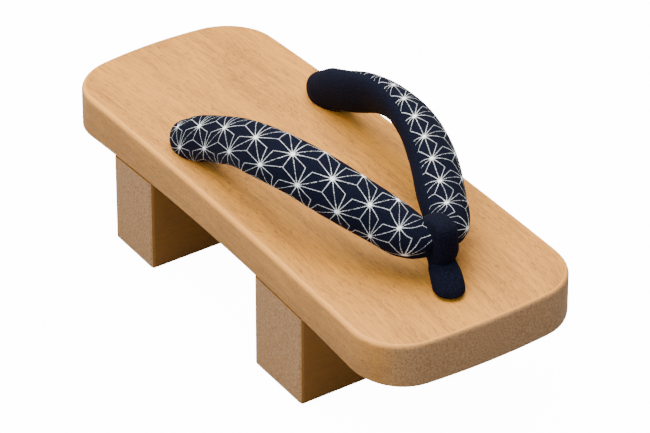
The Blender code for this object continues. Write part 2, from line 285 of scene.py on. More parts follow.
class GetaWood(bpy.types.PropertyGroup):
    length: metres("Length", "Board length from heel to toe", 0.2400)
    toe_width: metres("Toe width", "Board width carried to the toe end", 0.0975)
    heel_width: metres("Heel width", "Board width carried to the heel end", 0.0874)
    thickness: metres("End thickness", "Board thickness at its ends", 0.0194)
    edge: metres("Side rounding", "Radius of the long upper edges", 0.0026)
    hem: metres("Lower edge", "Bevel of the board's lower edges", 0.0008)
    light: colour("Light wood", "Colour of the early wood", (0.600, 0.250, 0.028))
    dark: colour("Dark wood", "Colour of the late wood and pores", (0.20, 0.084, 0.019))
    end_grain: colour("End grain", "Colour of the cut ends", (0.372, 0.217, 0.108))


class GetaStrap(bpy.types.PropertyGroup):
    width: metres("Width", "Strap width where it is fullest", 0.0220)
    thickness: metres("Thickness", "Strap thickness, base size", 0.0140)
    rise: metres("Rise", "Height of the strap's middle over the board", 0.0272)
    fill: number("Filling", "How tight the padding is", 0.85, 0.0, 1.0, subtype="FACTOR")
    line: number("Line width", "Width of the printed lines in millimetres", 0.15, 0.05, 3.0)
    star: number("Star size", "Radius of the star centres in millimetres", 0.98, 0.1, 5.0)
    cloth: colour("Cloth", "Colour of the dyed cloth", (0.0006, 0.0011, 0.0044))
    print_colour: colour("Print", "Colour of the printed lines", (0.90, 0.955, 1.0))


class GetaLoop(bpy.types.PropertyGroup):
    diameter: metres("Diameter", "Width of the toe post", 0.0120)
    crease: metres("Crease", "Depth of the gathers at the crease", 0.0003)
    cloth: colour("Cloth", "Colour of the plain cloth", (0.0006, 0.0009, 0.0034))


class GetaKnots(bpy.types.PropertyGroup):
    cord: metres("Cord", "Thickness of the tied cords", 0.0032)
    lobes: IntProperty(
        name="Lobes", description="Lobes of each knot", default=3, min=2, max=7,
    )
    tint: colour("Cord colour", "Colour of the tied cords", (0.42, 0.34, 0.24))


class GetaStage(bpy.types.PropertyGroup):
    lens: number("Lens", "Focal length in millimetres", 262.0, 20.0, 600.0)
    floor: colour("Floor", "Colour of the floor", (0.30, 0.30, 0.30))
    glow: number("Floor glow", "How bright the floor looks beyond its light",
                 14.0, 0.0, 50.0)
    key: number("Key light", "Power of the main light", 100.0, 0.0, 1000.0, unit="POWER")
    fill: number("Fill light", "Power of the fill light", 15.0, 0.0, 1000.0, unit="POWER")
    key_tint: colour("Key tint", "Colour of the main light", (1.0, 0.93, 0.82))
    sky_tint: colour("Sky tint", "Colour of the even light", (0.86, 0.93, 1.0))
    sky: number("Sky", "Strength of the even light all round", 0.84, 0.0, 5.0)


# Mesh making

def make_object(name, vertices, faces, material=None, sharp=None, places=None):
    """A smooth-shaded object whose edges sharper than an angle stay sharp.

    places gives each face corner its place on the cloth, in centimetres.
    """
    mesh = bpy.data.meshes.new(name)
    mesh.from_pydata([tuple(v) for v in vertices], [], faces)
    if places:
        layer = mesh.uv_layers.new(name="cloth")
        for corner, place in zip(layer.data, places):
            corner.uv = place
    work = bmesh.new()
    work.from_mesh(mesh)
    bmesh.ops.recalc_face_normals(work, faces=work.faces)
    work.to_mesh(mesh)
    work.free()
    mesh.shade_smooth()
    if sharp:
        mesh.set_sharp_from_angle(angle=radians(sharp))
    piece = bpy.data.objects.new(name, mesh)
    bpy.context.scene.collection.objects.link(piece)
    if material:
        mesh.materials.append(material)
    return piece


def skin(rings):
    """Faces of a body whose rings all have the same number of points."""
    sides = len(rings[0])
    vertices = [tuple(point) for ring in rings for point in ring]
    faces = []
    for level in range(len(rings) - 1):
        here = level * sides
        above = here + sides
        for k in range(sides):
            after = (k + 1) % sides
            faces.append((here + k, here + after, above + after, above + k))
    return vertices, faces


def closed_ends(rings):
    """The same faces, with a flat one over each end."""
    vertices, faces = skin(rings)
    sides = len(rings[0])
    last = len(vertices) - sides
    faces.append(tuple(reversed(range(sides))))
    faces.append(tuple(range(last, last + sides)))
    return vertices, faces


def travelled(points):
    """How far each point is from the first one, along the points."""
    steps = np.linalg.norm(np.diff(points, axis=0), axis=1)
    return np.concatenate([[0.0], np.cumsum(steps)])


def smooth_rows(rows, shares):
    """Rows read at shares of a smooth curve through rows, and its direction.

    The first three values of a row are its place.
    """
    chord = travelled(rows[:, :3])
    slope = np.gradient(rows, chord, axis=0)
    place = np.asarray(shares) * chord[-1]
    k = np.clip(np.searchsorted(chord, place, side="right") - 1, 0, len(chord) - 2)
    length = (chord[k + 1] - chord[k])[:, None]
    u = (place - chord[k])[:, None] / length
    start, end = rows[k], rows[k + 1]
    start_slope, end_slope = slope[k] * length, slope[k + 1] * length
    values = (
        (2 * u**3 - 3 * u**2 + 1) * start
        + (u**3 - 2 * u**2 + u) * start_slope
        + (3 * u**2 - 2 * u**3) * end
        + (u**3 - u**2) * end_slope
    )
    direction = (
        (6 * u**2 - 6 * u) * start
        + (3 * u**2 - 4 * u + 1) * start_slope
        + (6 * u - 6 * u**2) * end
        + (3 * u**2 - 2 * u) * end_slope
    )[:, :3]
    return values, direction / np.linalg.norm(direction, axis=1)[:, None]


def underside(wood, x):
    return END_UNDERSIDE_HEIGHT + UNDERSIDE_ARCH * (1 - (2 * x / wood.length) ** 2)


def deck(wood, x):
    top_at_end = END_UNDERSIDE_HEIGHT + wood.thickness
    return top_at_end + TOP_ARCH * (1 - (2 * x / wood.length) ** 2)


def half_width(wood, x):
    share = x / wood.length + 0.5
    return (wood.heel_width + (wood.toe_width - wood.heel_width) * share) / 2


def arc(centre, radius, start, end, shares):
    """Points of an arc, at these shares of the way from start to end."""
    turns = [start + (end - start) * share for share in shares]
    return [(centre[0] + radius * cos(t), centre[1] + radius * sin(t)) for t in turns]


def crowned_end(wood, way, crown, corner):
    """Half the outline of one end, from the middle line to the straight side."""
    half_length = wood.length / 2
    chord = half_width(wood, way * half_length)
    radius = (chord**2 + crown**2) / (2 * crown)
    crown_centre = np.array([way * (half_length - radius), 0.0])
    side = np.array([wood.length, (wood.toe_width - wood.heel_width) / 2])
    side /= np.linalg.norm(side)
    inward = np.array([side[1], -side[0]])
    offset = np.array([0.0, half_width(wood, 0)]) + corner * inward - crown_centre
    along = offset @ side
    reach = sqrt(along**2 - offset @ offset + (radius - corner) ** 2)
    corner_centre = crown_centre + offset + (way * reach - along) * side
    towards = corner_centre - crown_centre
    meet = atan2(towards[1], towards[0])
    middle = 0.0 if way > 0 else pi
    flank = atan2(-inward[1], -inward[0])
    crown_shares = [(k + 0.5) / CROWN_STEPS for k in range(CROWN_STEPS)]
    corner_shares = [k / CORNER_STEPS for k in range(CORNER_STEPS + 1)]
    points = arc(crown_centre, radius, middle, meet, crown_shares)
    points += arc(corner_centre, corner, meet, flank, corner_shares)
    return points


def board_outline(wood):
    """Half the board's outline, from the heel round the left side to the toe."""
    toe = crowned_end(wood, 1, TOE_CROWN, TOE_CORNER_RADIUS)
    heel = crowned_end(wood, -1, HEEL_CROWN, HEEL_CORNER_RADIUS)
    first, last = heel[-1][0], toe[-1][0]
    sides = []
    for k in range(1, SIDE_STEPS):
        x = first + (last - first) * k / SIDE_STEPS
        sides.append((x, half_width(wood, x)))
    return heel + sides + toe[::-1]


def board_edge(wood, points):
    """The board's edge as rings, from the underside round to the deck."""
    mirrored = points * [1, -1]
    before = np.vstack([mirrored[:1], points[:-1]])
    after = np.vstack([points[1:], mirrored[-1:]])
    along = after - before
    along /= np.linalg.norm(along, axis=1)[:, None]
    outward = np.column_stack([-along[:, 1], along[:, 0]])
    levels = []
    for part, steps in (("low", LOWER_EDGE_STEPS), ("high", UPPER_EDGE_STEPS)):
        levels += [(part, pi / 2 * k / steps) for k in range(steps + 1)]
    rings = []
    for part, turn in levels:
        left = []
        for point, normal in zip(points, outward):
            rounding = wood.edge * normal[1] ** 2 + END_EDGE_RADIUS * normal[0] ** 2
            if part == "low":
                inset = wood.hem * (1 - sin(turn))
                height = underside(wood, point[0]) + wood.hem * (1 - cos(turn))
            else:
                inset = rounding * (1 - cos(turn))
                height = deck(wood, point[0]) - rounding * (1 - sin(turn))
            x, y = point - normal * inset
            left.append((x, y, height))
        rings.append(left + [(x, -y, z) for x, y, z in reversed(left)])
    return rings


def board_shape(wood):
    """The board without its holes, with its faces in a grid of small squares."""
    points = np.array(board_outline(wood))
    count = len(points)
    rings = board_edge(wood, points)
    vertices, faces = skin(rings)
    lowest_ring, highest_ring = 0, 2 * count * (len(rings) - 1)
    for start in (lowest_ring, highest_ring):
        table = []
        for k in range(count):
            left = start + k
            right = start + 2 * count - 1 - k
            row = [left]
            for c in range(1, BOARD_COLUMNS):
                share = c / BOARD_COLUMNS
                a, b = vertices[left], vertices[right]
                row.append(len(vertices))
                vertices.append(tuple(p + (q - p) * share for p, q in zip(a, b)))
            table.append(row + [right])
        for low, high in zip(table, table[1:]):
            for c in range(BOARD_COLUMNS):
                faces.append((low[c], low[c + 1], high[c + 1], high[c]))
    return vertices, faces


def turned(profile, x, y, sides):
    """A body turned round an upright axis, from its radii and heights."""
    turns = [2 * pi * k / sides for k in range(sides)]
    rings = []
    for radius, height in profile:
        rings.append([(x + radius * cos(t), y + radius * sin(t), height) for t in turns])
    return closed_ends(rings)


def hole_places(wood):
    rear = -wood.length / 2 + HEEL_TO_REAR_HOLES
    side = REAR_HOLE_SPACING / 2
    return {
        "toe": (wood.length / 2 - TOE_TO_TOE_HOLE, TOE_HOLE_OFFSET),
        "left": (rear, side),
        "right": (rear, -side),
    }


def drill(piece, cutter):
    """Cuts the cutter out of the piece, and removes the cutter."""
    boolean = piece.modifiers.new("drill", "BOOLEAN")
    boolean.operation = "DIFFERENCE"
    boolean.solver = "EXACT"
    boolean.object = cutter
    graph = bpy.context.evaluated_depsgraph_get()
    cut = bpy.data.meshes.new_from_object(piece.evaluated_get(graph))
    piece.modifiers.clear()
    piece.data = cut
    bpy.data.objects.remove(cutter, do_unlink=True)


def ring_tube(points, radius, sides):
    """A round tube along points that close on themselves, without twist."""
    points = [Vector(p) for p in points]
    normal = Vector((0, 0, 1))
    rings = []
    for i, point in enumerate(points):
        way = (points[(i + 1) % len(points)] - points[i - 1]).normalized()
        normal = (normal - way * normal.dot(way)).normalized()
        across = way.cross(normal)
        ring = []
        for k in range(sides):
            turn = 2 * pi * k / sides
            ring.append(point + (normal * cos(turn) + across * sin(turn)) * radius)
        rings.append(ring)
    return rings


# Shader making

def add(tree, kind, **settings):
    node = tree.nodes.new(kind)
    for key, value in settings.items():
        setattr(node, key, value)
    return node


def put(tree, socket, value):
    if isinstance(value, bpy.types.NodeSocket):
        tree.links.new(value, socket)
    else:
        socket.default_value = value


def feed(tree, node, *values):
    for socket, value in zip(node.inputs, values):
        put(tree, socket, value)
    return node.outputs[0]


def maths(tree, operation, *values, clamp=False):
    node = add(tree, "ShaderNodeMath", operation=operation, use_clamp=clamp)
    return feed(tree, node, *values)


def scaled(tree, value, times, plus=0.0):
    return maths(tree, "MULTIPLY_ADD", value, times, plus)


def vectors(tree, operation, *values, scale=None):
    node = add(tree, "ShaderNodeVectorMath", operation=operation)
    feed(tree, node, *values)
    if scale is not None:
        put(tree, node.inputs["Scale"], scale)
    single = operation in ("DOT_PRODUCT", "DISTANCE")
    return node.outputs["Value" if single else "Vector"]


def mixed(tree, share, first, second):
    node = add(tree, "ShaderNodeMix", data_type="RGBA")
    put(tree, node.inputs[0], share)
    for socket, value in ((node.inputs[6], first), (node.inputs[7], second)):
        if not isinstance(value, bpy.types.NodeSocket):
            value = (*value, 1.0)
        put(tree, socket, value)
    return node.outputs[2]


def ramp(tree, value, low, high, start=0.0, end=1.0):
    """A smooth step from start at low to end at high."""
    node = add(tree, "ShaderNodeMapRange", interpolation_type="SMOOTHSTEP")
    return feed(tree, node, value, low, high, start, end)


def noise(tree, place, scale, detail, roughness=0.55):
    node = add(tree, "ShaderNodeTexNoise")
    settings = {"Vector": place, "Scale": scale, "Detail": detail,
                "Roughness": roughness}
    for label, value in settings.items():
        put(tree, node.inputs[label], value)
    return node.outputs["Fac"]


def join(tree, x, y, z=0.0):
    return feed(tree, add(tree, "ShaderNodeCombineXYZ"), x, y, z)


def split(tree, vector):
    node = add(tree, "ShaderNodeSeparateXYZ")
    put(tree, node.inputs[0], vector)
    return node.outputs[:]


def new_group(name, inputs, outputs):
    tree = bpy.data.node_groups.new(name, "ShaderNodeTree")
    kinds = {"vector": "NodeSocketVector", "number": "NodeSocketFloat"}
    for label, kind in inputs:
        tree.interface.new_socket(label, in_out="INPUT", socket_type=kinds[kind])
    for label, kind in outputs:
        tree.interface.new_socket(label, in_out="OUTPUT", socket_type=kinds[kind])
    source = tree.nodes.new("NodeGroupInput")
    result = tree.nodes.new("NodeGroupOutput")
    return tree, source.outputs, result.inputs


def place_group(tree, group, **values):
    node = add(tree, "ShaderNodeGroup", node_tree=group)
    for label, value in values.items():
        put(tree, node.inputs[label], value)
    return node.outputs


def line_distance_group():
    """How far a point is from a straight line between two ends."""
    ends = [("Point", "vector"), ("Start", "vector"), ("End", "vector")]
    tree, source, result = new_group("line_distance", ends, [("Distance", "number")])
    way = vectors(tree, "SUBTRACT", source["End"], source["Start"])
    from_start = vectors(tree, "SUBTRACT", source["Point"], source["Start"])
    along = vectors(tree, "DOT_PRODUCT", from_start, way)
    square = vectors(tree, "DOT_PRODUCT", way, way)
    share = maths(tree, "DIVIDE", along, square, clamp=True)
    nearest = vectors(tree, "SCALE", way, scale=share)
    put(tree, result["Distance"], vectors(tree, "DISTANCE", from_start, nearest))
    return tree


def hemp_leaf_group():
    """The printed hemp-leaf pattern, on a place in millimetres."""
    inputs = [("Place", "vector"), ("Line", "number"), ("Star", "number")]
    tree, source, result = new_group("hemp_leaf", inputs, [("Ink", "number")])
    cloth = source["Place"]
    line_distance = line_distance_group()
    wander = scaled(tree, noise(tree, cloth, scale=1.9, detail=2.0), *LINE_WANDER)
    x, y, _ = split(tree, vectors(tree, "ADD", cloth, join(tree, wander, wander)))

    # A cell is two triangles. Each is folded onto its own half, so that three
    # lines from star to star draw it all.
    row = maths(tree, "DIVIDE", y, ROW_SPACING)
    row_share = maths(tree, "FRACT", row)
    slide = maths(tree, "DIVIDE", x, STAR_SPACING)
    column = maths(tree, "SUBTRACT", slide, scaled(tree, row, 0.5))
    column_share = maths(tree, "FRACT", column)
    total = maths(tree, "ADD", row_share, column_share)
    second = maths(tree, "GREATER_THAN", total, 1.0)
    leaning = scaled(tree, row_share, 0.5, column_share)
    cell_x = scaled(tree, leaning, STAR_SPACING)
    cell_y = scaled(tree, row_share, ROW_SPACING)
    half = STAR_SPACING / 2
    from_middle = maths(tree, "ABSOLUTE", maths(tree, "SUBTRACT", cell_x, half))
    first_x = maths(tree, "SUBTRACT", half, from_middle)
    second_x = maths(tree, "ABSOLUTE", maths(tree, "SUBTRACT", cell_x, STAR_SPACING))
    step = maths(tree, "SUBTRACT", second_x, first_x)
    point = join(tree, scaled(tree, second, step, first_x), cell_y)
    bend = join(tree, *(
        scaled(tree, second, there - here, here)
        for here, there in zip(FIRST_BEND, SECOND_BEND)
    ))
    near_star = (0.0, 0.0, 0.0)
    far_star = (half, ROW_SPACING, 0.0)
    lines = []
    for start, end in ((near_star, bend), (bend, far_star), (near_star, far_star)):
        found = place_group(tree, line_distance, Point=point, Start=start, End=end)
        lines.append(found["Distance"])

    fray = scaled(tree, noise(tree, cloth, scale=4.5, detail=2.0), *LINE_FRAY)
    breaks = scaled(tree, noise(tree, cloth, scale=2.6, detail=1.0), *LINE_BREAKS)
    beads = scaled(tree, noise(tree, cloth, scale=7.0, detail=2.0), *LINE_BEADS)
    spokes = maths(tree, "ADD", maths(tree, "MINIMUM", lines[0], lines[1]), fray)
    direct = maths(tree, "ADD", lines[2], breaks)
    nearest = maths(tree, "ADD", maths(tree, "MINIMUM", spokes, direct), beads)
    to_near = vectors(tree, "DISTANCE", point, near_star)
    to_far = vectors(tree, "DISTANCE", point, far_star)
    to_star = maths(tree, "MINIMUM", to_near, to_far)
    taper = ramp(tree, to_star, *TAPER_DISTANCES, *TAPER_SHARES)
    line_edge = scaled(tree, source["Line"], taper)
    star_reach = maths(tree, "ADD", to_star, fray)
    inks = []
    for distance, edge, soft in ((nearest, line_edge, LINE_SOFTNESS),
                                 (star_reach, source["Star"], STAR_SOFTNESS)):
        outside = maths(tree, "ADD", edge, soft)
        inside = maths(tree, "SUBTRACT", edge, soft)
        inks.append(ramp(tree, distance, outside, inside))
    put(tree, result["Ink"], maths(tree, "MAXIMUM", *inks))
    return tree


def weave_group():
    """Plain weave: threads over and under, on a place in millimetres."""
    inputs = [("Place", "vector"), ("Pitch", "number")]
    outputs = [("Height", "number"), ("Shade", "number")]
    tree, source, result = new_group("plain_weave", inputs, outputs)
    place = source["Place"]
    turn = maths(tree, "DIVIDE", pi, source["Pitch"])
    warp, weft = (
        maths(tree, "SINE", scaled(tree, way, turn)) for way in split(tree, place)[:2]
    )
    slub = noise(tree, place, scale=0.7, detail=4.0, roughness=0.7)
    fleck = noise(tree, place, scale=1.9, detail=3.0, roughness=0.8)
    height = scaled(tree, scaled(tree, warp, weft), 0.3, 0.5)
    height = scaled(tree, fleck, 1.2, height)
    put(tree, result["Height"], scaled(tree, slub, 0.8, height))
    shade = scaled(tree, slub, 0.4, -0.15)
    raised = ramp(tree, fleck, 0.47, 0.66)
    put(tree, result["Shade"], maths(tree, "ADD", raised, shade))
    return tree


def wood_group():
    """Straight grain along x: tone, short pores and relief, in metres."""
    outputs = [("Tone", "number"), ("Pore", "number"), ("Height", "number")]
    tree, source, result = new_group("straight_grain", [("Place", "vector")], outputs)
    place = source["Place"]
    sway = scaled(tree, noise(tree, place, scale=14.0, detail=2.0), 0.010, -0.005)
    sway = scaled(tree, noise(tree, place, scale=50.0, detail=1.0), 0.0020, sway)
    x, y, z = split(tree, place)
    y, z = (maths(tree, "ADD", way, sway) for way in (y, z))

    def drawn_out(share, **settings):
        """A noise whose place changes by only this share along the grain."""
        drawn = join(tree, scaled(tree, x, share), y, z)
        return noise(tree, drawn, **settings)

    fibres = drawn_out(0.05, scale=420.0, detail=5.0, roughness=0.65)
    bands = drawn_out(0.11, scale=75.0, detail=3.0)
    fine = drawn_out(0.08, scale=1100.0, detail=4.0, roughness=0.7)
    pores = drawn_out(0.14, scale=2100.0, detail=2.0, roughness=0.6)
    cloud = noise(tree, place, scale=22.0, detail=3.0)
    tone = -0.66
    for layer, share in ((fibres, 0.60), (bands, 0.60), (cloud, 0.30), (fine, 0.90)):
        tone = scaled(tree, layer, share, tone)
    put(tree, result["Tone"], ramp(tree, tone, 0.15, 0.90))
    more_pores = ramp(tree, bands, 0.35, 0.75, end=0.06)
    level = maths(tree, "SUBTRACT", 0.615, more_pores)
    put(tree, result["Pore"], ramp(tree, pores, level, maths(tree, "ADD", level, 0.07)))
    put(tree, result["Height"], scaled(tree, pores, -0.5, fibres))
    return tree


def get_group(name, maker):
    return bpy.data.node_groups.get(name) or maker()


def new_material(name, roughness, specular=0.5, sheen=0.0):
    material = bpy.data.materials.new(name)
    material.use_nodes = True
    tree = material.node_tree
    shader = tree.nodes["Principled BSDF"]
    settings = {"Roughness": roughness, "Specular IOR Level": specular,
                "Sheen Weight": sheen, "Sheen Roughness": 0.45}
    for label, value in settings.items():
        shader.inputs[label].default_value = value
    return material, tree, shader


def toned(dye, times, plus=0.0):
    """A colour made darker or lighter."""
    return tuple(min(part * times + plus, 1.0) for part in dye)


def relief(tree, shader, height, distance, strength):
    bump = add(tree, "ShaderNodeBump")
    bump.inputs["Strength"].default_value = strength
    bump.inputs["Distance"].default_value = distance
    put(tree, bump.inputs["Height"], height)
    put(tree, shader.inputs["Normal"], bump.outputs[0])


def wood_material(name, wood, shift, darker, crosswise=False):
    """Bare wood, its grain along x or crosswise along y.

    End grain shows where the surface faces along the grain, and the board's long sides take
    part of its greyer colour as painted shade.
    """
    material, tree, shader = new_material(name, roughness=0.62, specular=0.25)
    coordinates = add(tree, "ShaderNodeTexCoord")
    place = vectors(tree, "ADD", coordinates.outputs["Object"], shift)
    facing = split(tree, coordinates.outputs["Normal"])
    if crosswise:
        x, y, z = split(tree, place)
        place = join(tree, y, x, z)
    group = get_group("straight_grain", wood_group)
    grain = place_group(tree, group, Place=place)
    # darker lowers the light wood's colour; on the teeth it is partly their own tone and
    # partly painted shade
    light = toned(wood.light, 1 - darker)
    tone = scaled(tree, grain["Tone"], GRAIN_SHARE)
    base = mixed(tree, tone, light, wood.dark)
    pore = scaled(tree, grain["Pore"], PORE_SHARE)
    pored = mixed(tree, pore, base, wood.dark)

    # A painted highlight pales the rounded upper edges, which face neither up nor out
    upwards = facing[2]
    painted_edge_highlight = ramp(tree, upwards, 0.25, 0.6, end=0.6)
    painted_edge_highlight = scaled(tree, painted_edge_highlight, ramp(tree, upwards, 0.99, 0.90))
    pored = mixed(tree, painted_edge_highlight, pored, toned(light, 1.3, 0.03))

    along_grain = maths(tree, "ABSOLUTE", facing[1 if crosswise else 0])
    end = ramp(tree, along_grain, 0.35, 0.95)
    # Painted shade: the board's long sides take part of the end grain's greyer, darker
    # colour
    if not crosswise:
        outwards = maths(tree, "ABSOLUTE", facing[1])
        aside = ramp(tree, outwards, 0.6, 0.95, end=0.4)
        end = maths(tree, "MAXIMUM", end, aside)
    speckle = noise(tree, place, scale=1300.0, detail=4.0, roughness=0.85)
    open_ends = ramp(tree, speckle, 0.38, 0.66, end=0.95)
    cut = mixed(tree, open_ends, wood.end_grain, wood.dark)
    put(tree, shader.inputs["Base Color"], mixed(tree, end, pored, cut))
    put(tree, shader.inputs["Roughness"], scaled(tree, grain["Tone"], 0.14, 0.52))
    relief(tree, shader, grain["Height"], distance=0.00025, strength=0.5)
    return material


def cloth_place(tree):
    """Place on the cloth in millimetres, from the piece's own map."""
    cloth_map = add(tree, "ShaderNodeUVMap", uv_map="cloth")
    return vectors(tree, "SCALE", cloth_map.outputs[0], scale=MM_PER_CM)


def new_cotton(name):
    """A dull cotton without its colours, with its place and weave."""
    material, tree, shader = new_material(name, roughness=0.95, specular=0.08)
    place = cloth_place(tree)
    group = get_group("plain_weave", weave_group)
    weave = place_group(tree, group, Place=place, Pitch=THREAD_PITCH)
    return material, tree, shader, place, weave


def plain_cloth(name, dye, lift):
    material, tree, shader, _, weave = new_cotton(name)
    pale = toned(dye, lift, THREAD_GLINT)
    put(tree, shader.inputs["Base Color"], mixed(tree, weave["Shade"], dye, pale))
    relief(tree, shader, weave["Height"], WEAVE_DEPTH, strength=0.7)
    return material


def printed_cloth(strap):
    material, tree, shader, place, weave = new_cotton("printed_cotton")
    leaf = place_group(tree, get_group("hemp_leaf", hemp_leaf_group),
                       Place=place, Line=strap.line, Star=strap.star)
    deep = toned(strap.cloth, 1.6)
    pale = toned(strap.cloth, 4.5, THREAD_GLINT)
    ground = mixed(tree, weave["Shade"], deep, pale)
    ink_tone = maths(tree, "MULTIPLY_ADD", weave["Shade"], -0.25, 1.0, clamp=True)
    ink = scaled(tree, leaf["Ink"], ink_tone)
    inked = mixed(tree, ink, ground, strap.print_colour)
    put(tree, shader.inputs["Base Color"], inked)
    height = scaled(tree, leaf["Ink"], 0.8, weave["Height"])
    relief(tree, shader, height, WEAVE_DEPTH, strength=0.7)
    return material


def cord_material(tint):
    material, tree, shader = new_material("tied_cord", roughness=0.9, sheen=0.2)
    place = cloth_place(tree)
    x, y, _ = split(tree, place)
    twist = scaled(tree, y, 2.0, scaled(tree, x, 3.2))
    strand = scaled(tree, maths(tree, "SINE", twist), 0.5, 0.5)
    fluff = noise(tree, place, scale=2.5, detail=4.0, roughness=0.7)
    shade = scaled(tree, strand, fluff)
    dark = toned(tint, 0.45)
    put(tree, shader.inputs["Base Color"], mixed(tree, shade, dark, tint))
    relief(tree, shader, strand, distance=0.0004, strength=0.8)
    return material


# Pieces

def arm_rows(strap, wood):
    """The strap's rows in metres: place, half width, half thickness and tilt."""
    holes = hole_places(wood)
    rear, side = holes["right"]
    point = holes["toe"][0] - LOOP_LEAN
    rows = []
    for row in STRAP_ROWS:
        x = rear + (point - rear) * row.along
        rows.append((
            x, side * row.spread,
            deck(wood, x) + strap.rise * row.rise, strap.width / 2 * row.width,
            strap.thickness / 2 * row.thickness, row.tilt,
        ))
    return np.array(rows)


def swelling(run, turn):
    """The padding's soft swell at a place, as a factor of its size."""
    shift = SWELL_SLOW_SHIFT * sin(SWELL_SLOW * run)
    swell = sin(SWELL_FAST * run + shift + 2 * turn)
    return 1 + SWELL_SHARE * swell * cos(2 * turn - SWELL_DRIFT * run)


def girth(ring):
    """How far each point of a ring is from its first one, round the ring."""
    return travelled([*ring, ring[0]])


def strap_arm(arm, strap, wood, steps, sides):
    """One arm of the V: its points, faces, places on the cloth and materials."""
    rows = arm_rows(strap, wood)
    length = travelled(rows[:, :3])[-1]
    end_share = STRAP_END_ROUNDING / length
    turns = [pi / 2 * (k + 0.3) / STRAP_END_RINGS for k in range(STRAP_END_RINGS)]
    places = [end_share * (1 - cos(turn)) for turn in turns]
    places += list(np.linspace(end_share, 1.0, steps))
    scale = list(np.sin(turns)) + [1.0] * steps
    values, direction = smooth_rows(rows, places)
    rings, maps = [], []
    half = sides // 2
    for row, along, size, share in zip(values, direction, scale, places):
        tilt = radians(row[5])
        face = np.array([0.0, -cos(tilt), sin(tilt)])
        face -= along * (face @ along)
        face /= np.linalg.norm(face)
        edge = np.cross(along, face)
        run = share * length
        twist = arm.twist * exp(-((run / arm.twist_reach) ** 2))
        ring = []
        for k in range(sides):
            turn = 2 * pi * k / sides + twist
            soft = size * swelling(run, turn)
            from_seam = min(k % half, half - k % half)
            tuck = SEAM_TUCKS[from_seam] if from_seam < len(SEAM_TUCKS) else 0.0
            wide = (row[3] * soft - tuck) * cos(turn)
            deep = row[4] * soft * sin(turn)
            x, y, z = row[:3] + edge * wide + face * deep
            z = max(z, deck(wood, x) + GAP)
            ring.append((x, -arm.side * min(y, -ARM_TO_MIDDLE), z))
        rings.append(ring)
        reach = girth(ring)
        middle = sides * (0.25 - twist / (2 * pi))
        maps.append((run, reach, np.interp(middle, range(sides + 1), reach)))
    vertices, faces = closed_ends(rings)
    lay = np.array([(row.run, 0, 0, *row[1:]) for row in arm.lay])
    lay_shares = np.array(places) * length * MM_PER_METRE / lay[-1, 0]
    lies, _ = smooth_rows(lay, lay_shares)

    def printed(i, k):
        _, reach, middle = maps[i]
        across = (middle - reach[k]) * MM_PER_METRE
        x, y, x_across, y_across = lies[i][3:]
        x += x_across * across + arm.bow * across**2
        return x / MM_PER_CM, (y + y_across * across) / MM_PER_CM

    def plain(i, k):
        run, reach, _ = maps[i]
        return run * CM_PER_METRE, (reach[k] - reach[half + half // 2]) * CM_PER_METRE

    corners, slots = [], []
    for i in range(len(rings) - 1):
        for k in range(sides):
            outer = k < half
            read = printed if outer else plain
            corners += [read(i, k), read(i, k + 1), read(i + 1, k + 1), read(i + 1, k)]
            slots.append(0 if outer else 1)
    corners += [plain(0, k) for k in reversed(range(sides))]
    corners += [plain(-1, k) for k in range(sides)]
    slots += [1, 1]
    return vertices, faces, corners, slots


def make_strap(strap, wood):
    """Both arms in one piece, with print outside and plain cloth inside."""
    vertices, faces, places, slots = [], [], [], []
    steps, sides = ((150, 48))
    for arm in ARMS:
        points, sheets, corners, finishes = strap_arm(arm, strap, wood, steps, sides)
        start = len(vertices)
        vertices += points
        faces += [tuple(v + start for v in face) for face in sheets]
        places += corners
        slots += finishes
    piece = make_object("strap_padding", vertices, faces, places=places)
    piece.data.materials.append(printed_cloth(strap))
    piece.data.materials.append(plain_cloth("strap_cotton", strap.cloth, lift=6.0))
    for polygon, slot in zip(piece.data.polygons, slots):
        polygon.material_index = slot
    return piece


def make_loop(loop, strap, wood):
    """The toe post and the band above it, gathered where they meet."""
    toe, side = hole_places(wood)["toe"]
    base = deck(wood, toe)
    point = STRAP_ROWS[-1]
    wall = GAP + LOOP_BAND_THICKNESS
    depth = strap.width * point.width + 2 * wall
    height = strap.rise * point.rise + strap.thickness / 2 * point.thickness + wall
    rows = []
    for row in LOOP_ROWS:
        rows.append((
            toe - LOOP_LEAN * row.lean, side * (1 - row.lean),
            base + height * row.height, depth * row.depth / 2,
            loop.diameter * row.width / 2, row.height, row.lean,
        ))
    steps, sides = ((90, 64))
    values, _ = smooth_rows(np.array(rows), np.linspace(0, 1, steps))
    run = travelled(values[:, :3])
    rings = []
    for x, y, z, deep, wide, share, lean in values:
        power = 1 - BAND_SQUARENESS * min(max(lean, 0), 1)
        gather = exp(-(((share - CREASE_HEIGHT) / CREASE_REACH) ** 2))
        ring = []
        for k in range(sides):
            turn = 2 * pi * k / sides
            across = np.sign(cos(turn)) * abs(cos(turn)) ** power
            aside = np.sign(sin(turn)) * abs(sin(turn)) ** power
            swing = CREASE_SWING * cos(CREASE_FOLDS * turn + CREASE_TURN)
            fold = -loop.crease * gather * (CREASE_MIDDLE + swing)
            ring.append((x + (deep + fold) * across, y + (wide + fold) * aside, z))
        rings.append(ring)
    reaches = [girth(ring) for ring in rings]
    vertices, faces = closed_ends(rings)
    places = []
    for i in range(steps - 1):
        for k in range(sides):
            for a, b in ((i, k), (i, k + 1), (i + 1, k + 1), (i + 1, k)):
                places.append((run[a] * CM_PER_METRE, reaches[a][b] * CM_PER_METRE))
    for i in (0, steps - 1):
        places += [(x * CM_PER_METRE, y * CM_PER_METRE) for x, y, _ in rings[i]]
    cotton = plain_cloth("loop_cotton", loop.cloth, lift=8.0)
    return make_object("toe_post", vertices, faces, cotton, SOFT_SHARP, places)


